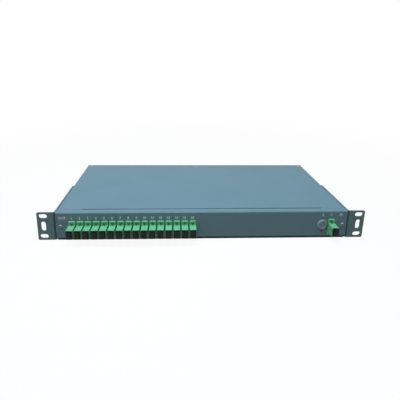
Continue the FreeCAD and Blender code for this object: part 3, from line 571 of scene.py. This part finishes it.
# ---------------------------------------------------------------------------------------------------
# Geometry trees for what repeats
# ---------------------------------------------------------------------------------------------------
class RepeatTree:
    """A geometry tree that sets one small shape at even steps and joins the copies."""

    def __init__(self, name: str, sizes: dict[str, float]) -> None:
        """Starts the tree with its named inputs.

        Args:
            name: the tree's name.
            sizes: each size input's name and its usual value, in metres.
        """
        self.tree = bpy.data.node_groups.new(name, "GeometryNodeTree")
        face = self.tree.interface
        face.new_socket(name="Geometry", in_out="OUTPUT", socket_type="NodeSocketGeometry")
        self.sockets = {}
        for label, value in sizes.items():
            socket = face.new_socket(name=label, in_out="INPUT", socket_type="NodeSocketFloat")
            socket.default_value = value
            self.sockets[label] = socket.identifier
        for label, kind in (("Start", "NodeSocketVector"), ("Step", "NodeSocketVector"),
                            ("Turn", "NodeSocketVector"), ("Count", "NodeSocketInt"),
                            ("Material", "NodeSocketMaterial")):
            socket = face.new_socket(name=label, in_out="INPUT", socket_type=kind)
            self.sockets[label] = socket.identifier
        self.inputs = add_node(self.tree, "NodeGroupInput").outputs

    def finish(self, shape: bpy.types.NodeSocket) -> None:
        """Sets the shape at each step, makes the copies real and gives them their material.

        Args:
            shape: the socket of the shape that repeats.
        """
        line = add_node(self.tree, "GeometryNodeMeshLine", {
            "Count": self.inputs["Count"], "Start Location": self.inputs["Start"],
            "Offset": self.inputs["Step"]}, mode="OFFSET")
        turn = add_node(self.tree, "FunctionNodeEulerToRotation", {0: self.inputs["Turn"]})
        copies = add_node(self.tree, "GeometryNodeInstanceOnPoints", {
            "Points": line.outputs[0], "Instance": shape, "Rotation": turn.outputs[0]})
        real = add_node(self.tree, "GeometryNodeRealizeInstances", {0: copies.outputs[0]})
        dressed = add_node(self.tree, "GeometryNodeSetMaterial", {
            "Geometry": real.outputs[0], "Material": self.inputs["Material"]})
        add_node(self.tree, "NodeGroupOutput", {0: dressed.outputs[0]})

    def mesh(self, values: dict[str, object]) -> bpy.types.Mesh:
        """Runs the tree once.

        Args:
            values: a value for each named input.

        Returns:
            A plain mesh, with its faces outwards.
        """
        host = bpy.data.objects.new("host", bpy.data.meshes.new("host"))
        bpy.context.scene.collection.objects.link(host)
        modifier = host.modifiers.new("repeat", "NODES")
        modifier.node_group = self.tree
        for label, value in values.items():
            modifier[self.sockets[label]] = value
        graph = bpy.context.evaluated_depsgraph_get()
        graph.update()
        made = bpy.data.meshes.new_from_object(host.evaluated_get(graph), depsgraph=graph)
        host.modifiers.remove(modifier)
        bpy.data.objects.remove(host)
        return close_up(made)


def frame_tree() -> RepeatTree:
    """A rounded rectangular frame, such as a bead round a moulded edge.

    Returns:
        The tree, with inputs for the frame's width, height and corner and its bead's width and rise.
    """
    made = RepeatTree("bead_frames", {"Width": 0.009, "Height": 0.013, "Corner": 0.0005,
                                      "Bead": 0.0004, "Rise": 0.0003})
    tree, given = made.tree, made.inputs
    path = add_node(tree, "GeometryNodeCurvePrimitiveQuadrilateral", {
        "Width": given["Width"], "Height": given["Height"]})
    rounded = add_node(tree, "GeometryNodeFilletCurve", {
        "Curve": path.outputs[0], "Radius": given["Corner"], "Count": 3}, mode="POLY")
    bead = add_node(tree, "GeometryNodeCurvePrimitiveQuadrilateral", {
        "Width": given["Rise"], "Height": given["Bead"]})
    swept = add_node(tree, "GeometryNodeCurveToMesh", {
        "Curve": rounded.outputs[0], "Profile Curve": bead.outputs[0]})
    made.finish(swept.outputs[0])
    return made


def bar_tree() -> RepeatTree:
    """A short bar with rounded corners, such as a rib on a grip.

    Returns:
        The tree, with inputs for the bar's width, height, length and corner.
    """
    made = RepeatTree("rib_bars", {"Width": 0.005, "Height": 0.0006, "Length": 0.0004, "Corner": 0.0002})
    tree, given = made.tree, made.inputs
    outline = add_node(tree, "GeometryNodeCurvePrimitiveQuadrilateral", {
        "Width": given["Width"], "Height": given["Height"]})
    rounded = add_node(tree, "GeometryNodeFilletCurve", {
        "Curve": outline.outputs[0], "Radius": given["Corner"], "Count": 2}, mode="POLY")
    reach = add_node(tree, "ShaderNodeCombineXYZ", {"Z": given["Length"]})
    path = add_node(tree, "GeometryNodeCurvePrimitiveLine", {"End": reach.outputs[0]})
    swept = add_node(tree, "GeometryNodeCurveToMesh", {
        "Curve": path.outputs[0], "Profile Curve": rounded.outputs[0], "Fill Caps": True})
    made.finish(swept.outputs[0])
    return made


# ---------------------------------------------------------------------------------------------------
# Sub-assemblies
# ---------------------------------------------------------------------------------------------------
@dataclass
class PanelPrint:
    """The white numbers and the two short words screen-printed on the front panel."""

    letter: float = 3.9
    bold: float = 0.15
    narrow: float = 0.85
    capital_share: float = 0.72
    spacing: float = 1.05
    ink: float = 0.04
    row_over_outputs: float = 4.3
    row_over_inlet: float = 6.2
    digits_beside: float = -0.6
    out_beside: float = -13.5
    in_beside: float = 14.4
    port_count: int = 16

    def letters(self, body: str, across: float, up: float, face: float) -> bpy.types.Mesh:
        """One word or number, flat on the panel.

        Args:
            body: what it says.
            across: its middle, from the shelf's middle, in metres.
            up: its middle's height, in metres.
            face: where the panel's face is, in metres.

        Returns:
            The letters' mesh, in place.
        """
        curve = bpy.data.curves.new("print_" + body, "FONT")
        curve.body = body
        curve.align_x, curve.align_y = "CENTER", "CENTER"
        curve.size = self.letter * MM / self.capital_share
        curve.space_character = self.spacing
        curve.extrude = self.ink * MM / 2
        curve.offset = self.bold * MM
        curve.resolution_u = 3
        text = bpy.data.objects.new("print_" + body, curve)
        mesh = bpy.data.meshes.new_from_object(text)
        bpy.data.objects.remove(text)
        narrow = Matrix.Diagonal((self.narrow, 1.0, 1.0, 1.0))
        mesh.transform(Matrix.Translation((across, face - self.ink * MM / 2, up)) @ UPRIGHT @ narrow)
        return mesh

    def row(self, name: str, marks: list[tuple[str, float, float]], face: float) -> None:
        """Joins a row of words and numbers into one piece of ink.

        Args:
            name: the piece's name.
            marks: each mark's text and the place of its middle, in metres.
            face: where the panel's face is, in metres.
        """
        joined = join_up(name, [self.letters(*mark, face) for mark in marks])
        place_piece(name, joined, SCREEN_INK.material(), CHASSIS)

    def build(self) -> None:
        """Prints both groups of ports."""
        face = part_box("front_panel")[0].y
        outputs = []
        for number in range(1, self.port_count + 1):
            low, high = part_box(f"output_adapter_{number:02d}")
            middle = (low.x + high.x) / 2 + self.digits_beside * MM
            outputs.append((str(number), middle, high.z + self.row_over_outputs * MM))
        first = outputs[0]
        outputs.append(("OUT", first[1] + self.out_beside * MM, first[2]))
        self.row("output_print", outputs, face)
        low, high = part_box("input_adapter")
        plug_low, plug_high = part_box("hole_plug")
        up = high.z + self.row_over_inlet * MM
        middle = (low.x + high.x) / 2
        inputs = [("1", middle, up), ("2", (plug_low.x + plug_high.x) / 2, up),
                  ("IN", middle + self.in_beside * MM, up)]
        self.row("input_print", inputs, face)


@dataclass
class AdapterTrim:
    """The moulded detail of the adapters' flanges.

    A weld bead runs round each flange, where the housing's two halves meet, and a half-round rim
    stiffens each end of it, past the screws.
    """

    bead: float = 0.3
    rise: float = 0.16
    corner: float = 1.0
    flange_thick: float = 2.2
    rim: float = 1.3
    rim_in: float = 0.75
    rim_short: float = 0.9
    rim_round: float = 0.45

    def build(self) -> None:
        """Makes the beads and rims of the sixteen outputs and of the input."""
        first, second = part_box("output_adapter_01"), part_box("output_adapter_02")
        step = Vector((second[0].x - first[0].x, 0, 0))
        count = sum(name.startswith("output_adapter_") for name in frame["nodes"])
        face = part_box("front_panel")[0].y
        beads, bars = frame_tree(), bar_tree()
        green = ADAPTER_GREEN.material()
        for group, (low, high), many in (("output", first, count), ("input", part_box("input_adapter"), 1)):
            row = {"Step": step, "Count": many, "Material": green}
            middle = (low + high) / 2
            bead = beads.mesh(row | {
                "Width": high.x - low.x, "Height": high.z - low.z, "Corner": self.corner * MM,
                "Bead": self.bead * MM, "Rise": self.rise * MM * 2, "Turn": (math.pi / 2, 0, 0),
                "Start": Vector((middle.x, face - self.flange_thick * MM / 2, middle.z))})
            long = high.x - low.x - self.rim_short * MM
            rims = [bars.mesh(row | {
                "Width": self.rim * MM, "Height": self.rim * MM, "Corner": self.rim * MM * self.rim_round,
                "Length": long, "Turn": (0, math.pi / 2, 0),
                "Start": Vector((middle.x - long / 2, face - self.flange_thick * MM, level))})
                for level in (low.z + self.rim_in * MM, high.z - self.rim_in * MM)]
            for name, mesh in ((group + "_weld_beads", bead),
                               (group + "_flange_rims", join_up("rims", rims))):
                place_piece(name, mesh, green, CHASSIS)


@dataclass
class CapTrim:
    """The finger ribs across each dust cap's grip."""

    ribs: int = 4
    rib_tall: float = 0.7
    rib_proud: float = 0.3
    sink: float = 0.1
    span_share: float = 0.62
    side_in: float = 1.2
    grip_share: float = 0.72

    def build(self) -> None:
        """Makes the ribs of every cap, one piece for each, on the cap's own body."""
        bars = bar_tree()
        for body in sorted(frame["bodies"]):
            if body == CHASSIS:
                continue
            node = body.replace("_dust_cap", "_cap")
            low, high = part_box(node)
            rise = (high.z - low.z) * self.span_share
            step = rise / (self.ribs - 1)
            start = Vector(((low.x + high.x) / 2, low.y + self.sink * MM,
                            (low.z + high.z - rise) / 2))
            mesh = bars.mesh({
                "Width": (high.x - low.x) * self.grip_share - self.side_in * MM,
                "Height": self.rib_tall * MM,
                "Length": (self.sink + self.rib_proud) * MM, "Corner": self.rib_tall * MM / 3,
                "Start": start, "Step": (0, 0, step), "Turn": (math.pi / 2, 0, 0),
                "Count": self.ribs, "Material": CAP_BLACK.material()})
            place_piece(body + "_ribs", mesh, CAP_BLACK.material(), body)


@dataclass(frozen=True)
class Lamp:
    """One soft square lamp that looks at the shelf.

    Its place, its side and its aim are in metres, and its power is in watts.
    """

    name: str
    place: tuple[float, float, float]
    side: float
    watts: float
    colour: str
    aim: tuple[float, float, float] = (0.0, 0.1, 0.0)

    def hang(self) -> None:
        """Hangs the lamp and turns it to its aim."""
        data = bpy.data.lights.new(self.name, "AREA")
        data.shape, data.size, data.energy = "SQUARE", self.side, self.watts
        data.color = linear(self.colour)[:3]
        lamp = bpy.data.objects.new(self.name, data)
        lamp.rotation_mode = "QUATERNION"
        lamp.rotation_quaternion = (Vector(self.aim) - Vector(self.place)).to_track_quat("-Z", "Y")
        lamp.location = self.place
        bpy.context.scene.collection.objects.link(lamp)


@dataclass
class Studio:
    """The pale floor, the soft light and the camera's place."""

    floor_span: float = 12.0
    floor_grey: str = "#8E9290"
    floor_white: str = "#FAFAFA"
    floor_gap: float = 0.0002
    shadow_reach: tuple[float, float] = (0.35, 0.9)
    shadow_ease: float = 0.92
    camera_place: tuple[float, float, float] = (-44.8, -453.3, 258.1)
    turn: float = 2.62
    pitch: float = 14.07
    roll: float = 0.92
    lens: float = 30.59
    shift: tuple[float, float] = (0.0275, -0.175)
    sensor: float = 36.0
    clip: tuple[float, float] = (0.01, 50.0)
    lamps: tuple[Lamp, ...] = (
        Lamp("overhead_softbox", (-0.12, -0.06, 0.85), 0.7, 9.9, "#D9EBFF"),
        Lamp("front_fill", (-0.7, -1.8, 0.8), 1.2, 2.9, "#FFC078"))

    def camera(self) -> None:
        """Sets the camera up."""
        data = bpy.data.cameras.new("camera")
        data.sensor_width, data.lens = self.sensor, self.lens
        data.shift_x, data.shift_y = self.shift
        data.clip_start, data.clip_end = self.clip
        eye = bpy.data.objects.new("camera", data)
        turn, pitch, roll = map(math.radians, (self.turn, self.pitch, self.roll))
        ahead = Vector((math.sin(turn) * math.cos(pitch), math.cos(turn) * math.cos(pitch),
                        -math.sin(pitch)))
        right = Vector((math.cos(turn), -math.sin(turn), 0))
        above = right.cross(ahead)
        side = right * math.cos(roll) + above * math.sin(roll)
        above = above * math.cos(roll) - right * math.sin(roll)
        axes = Matrix((side, above, -ahead)).transposed().to_4x4()
        eye.matrix_world = Matrix.Translation(Vector(self.camera_place) * MM) @ axes
        bpy.context.scene.collection.objects.link(eye)
        bpy.context.scene.camera = eye

    def seen(self, tree: bpy.types.NodeTree) -> bpy.types.NodeSocket:
        """Whether a ray comes straight from the camera, or by a mirror or glass.

        Args:
            tree: the tree that gets the nodes.

        Returns:
            A socket that is one for such a ray.
        """
        path = add_node(tree, "ShaderNodeLightPath").outputs
        either = work_out(tree, "Math", "MAXIMUM", path["Is Camera Ray"], path["Is Glossy Ray"])
        return work_out(tree, "Math", "MAXIMUM", either, path["Is Transmission Ray"])

    def floor(self) -> None:
        """Lays a pale floor under the shelf that keeps a soft shadow."""
        down = CAD_BOX[0].z - self.floor_gap
        half = self.floor_span / 2
        mesh = bpy.data.meshes.new("floor")
        mesh.from_pydata([(x * half, y * half, down) for x, y in ((-1, -1), (1, -1), (1, 1), (-1, 1))],
                         [], [(0, 1, 2, 3)])
        made = bpy.data.materials.new("paper_floor")
        made.use_nodes = True
        tree = made.node_tree
        tree.nodes.clear()
        bounce = add_node(tree, "ShaderNodeBsdfDiffuse", {"Color": linear(self.floor_grey)}).outputs[0]
        paper = add_node(tree, "ShaderNodeBsdfDiffuse", {"Color": linear(self.floor_white)}).outputs[0]
        white = add_node(tree, "ShaderNodeEmission", {"Color": (1, 1, 1, 1), "Strength": 1.0}).outputs[0]
        where = add_node(tree, "ShaderNodeTexCoord").outputs["Object"]
        away = add_node(tree, "ShaderNodeVectorMath", {0: where}, operation="LENGTH").outputs["Value"]
        near, far = self.shadow_reach
        share = add_node(tree, "ShaderNodeMapRange", {
            "Value": away, "From Min": near, "From Max": far, "To Min": self.shadow_ease,
            "To Max": 1.0}).outputs[0]
        shown = add_node(tree, "ShaderNodeMixShader", {0: share, 1: paper, 2: white}).outputs[0]
        both = add_node(tree, "ShaderNodeMixShader", {0: self.seen(tree), 1: bounce, 2: shown}).outputs[0]
        add_node(tree, "ShaderNodeOutputMaterial", {0: both})
        mesh.materials.append(made)
        piece = bpy.data.objects.new("floor", mesh)
        bpy.context.scene.collection.objects.link(piece)

    def world(self, fill: float = 0.15, warm: str = "#FFE8C8") -> None:
        """Fills the room with a weak even light, and shows white where nothing stands.

        Args:
            fill: the strength of the even light.
            warm: its colour.
        """
        made = bpy.data.worlds.new("studio")
        bpy.context.scene.world = made
        made.use_nodes = True
        tree = made.node_tree
        tree.nodes.clear()
        room = add_node(tree, "ShaderNodeBackground", {"Color": linear(warm), "Strength": fill}).outputs[0]
        white = add_node(tree, "ShaderNodeBackground", {"Color": (1, 1, 1, 1), "Strength": 1.0}).outputs[0]
        light = add_node(tree, "ShaderNodeMixShader", {0: self.seen(tree), 1: room, 2: white}).outputs[0]
        add_node(tree, "ShaderNodeOutputWorld", {0: light})

    def build(self) -> None:
        """Builds the whole studio."""
        self.camera()
        self.floor()
        self.world()
        for lamp in self.lamps:
            lamp.hang()
        bpy.context.scene.view_settings.view_transform = "Standard"


def main() -> None:
    """Builds the scene."""
    Studio().build()
    dress_nodes()
    PanelPrint().build()
    AdapterTrim().build()
    CapTrim().build()


if __name__ == "__main__":
    main()
